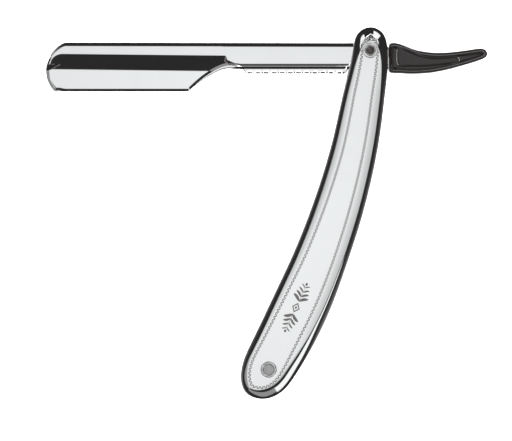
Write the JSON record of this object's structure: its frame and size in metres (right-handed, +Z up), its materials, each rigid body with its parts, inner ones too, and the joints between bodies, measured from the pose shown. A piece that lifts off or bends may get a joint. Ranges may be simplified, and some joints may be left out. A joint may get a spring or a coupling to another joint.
{
  "type": "straight razor",
  "caption": "Folding barber's razor: a hinged holder for a replaceable blade, with jimped shank and plastic tail, turns between curved polished handle scales.",
  "frame": {"origin": "under the middle of the open razor's bounding box, on the surface it lies on", "axes": "+X from the blade holder's tip to the plastic tail, +Y from the blade's edge to its spine, +Z up and out of the front scale"},
  "size_m": [0.1608, 0.1353, 0.0103],
  "materials": {
    "polished_steel": "mirror polish",
    "rivet_steel": "turned and tumbled",
    "washer_brass": "stamped",
    "black_plastic": "moulded, glossy"
  },
  "bodies": {
    "handle": {"front_scale": "polished_steel", "rear_scale": "polished_steel", "pivot_pin": "rivet_steel", "pivot_bush": "rivet_steel", "pivot_ring_front": "rivet_steel", "pivot_ring_rear": "rivet_steel", "pivot_washer_front": "washer_brass", "pivot_washer_rear": "washer_brass", "end_eyelet": "rivet_steel", "end_collar": "rivet_steel", "end_spacer": "rivet_steel"},
    "blade_arm": {"main_leaf": "polished_steel", "tang_grip": "black_plastic", "blade_stud_outer": "rivet_steel", "blade_stud_inner": "rivet_steel"},
    "cover": {"cover_leaf": "polished_steel"}
  },
  "joints": [
    {"name": "arm_pivot", "type": "hinge", "parent": "handle", "child": "blade_arm", "pos_m": [0.0376, 0.05915, 0.00515], "axis": [0, 0, 1], "range_deg": [-195, 69.5]},
    {"name": "cover_leaf_pivot", "type": "hinge", "parent": "blade_arm", "child": "cover", "pos_m": [0.0376, 0.05915, 0.00515], "axis": [0, 0, 1], "range_deg": [-70, 0]}
  ]
}
